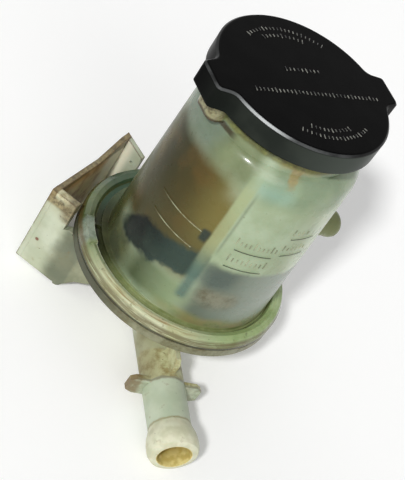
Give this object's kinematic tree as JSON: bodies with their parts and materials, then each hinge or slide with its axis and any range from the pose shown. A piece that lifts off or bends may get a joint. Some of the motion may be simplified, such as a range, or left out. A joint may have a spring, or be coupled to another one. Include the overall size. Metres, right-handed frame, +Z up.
{
  "type": "power steering oil reservoir",
  "caption": "Upright oil reservoir: drafted translucent body on a welded flanged bowl, eared bayonet cap, level outlet and return nozzles, side bracket.",
  "frame": {"origin": "centre of the foot under the bowl, on the axis of the weld flange, the neck and the cap", "axes": "+Z up through the filler cap; -X towards the mounting bracket; the outlet nozzle leaves level towards +X -Y and the return nozzle towards +X +Y"},
  "size_m": [0.11, 0.1392, 0.1336],
  "materials": {
    "body_nylon": "translucent moulded nylon, aged, green-beige",
    "base_nylon": "aged moulded nylon, off-white",
    "cap_black": "black moulded nylon, glossy",
    "gasket_rubber": "matt black rubber",
    "strainer_nylon": "oil-stained nylon",
    "mesh_fabric": "fine woven nylon mesh",
    "baffle_nylon": "pale moulded nylon"
  },
  "bodies": {
    "reservoir": {"upper_shell": "body_nylon", "lower_shell": "base_nylon", "strainer_frame": "strainer_nylon", "strainer_mesh": "mesh_fabric", "baffle": "baffle_nylon"},
    "cap_body": {"cap": "cap_black", "cap_gasket": "gasket_rubber"}
  },
  "joints": [
    {"name": "cap_turn", "type": "hinge", "parent": "reservoir", "child": "cap_body", "pos_m": [0, 0, 0.128], "axis": [0, 0, 1], "range_deg": [0, 75]}
  ]
}
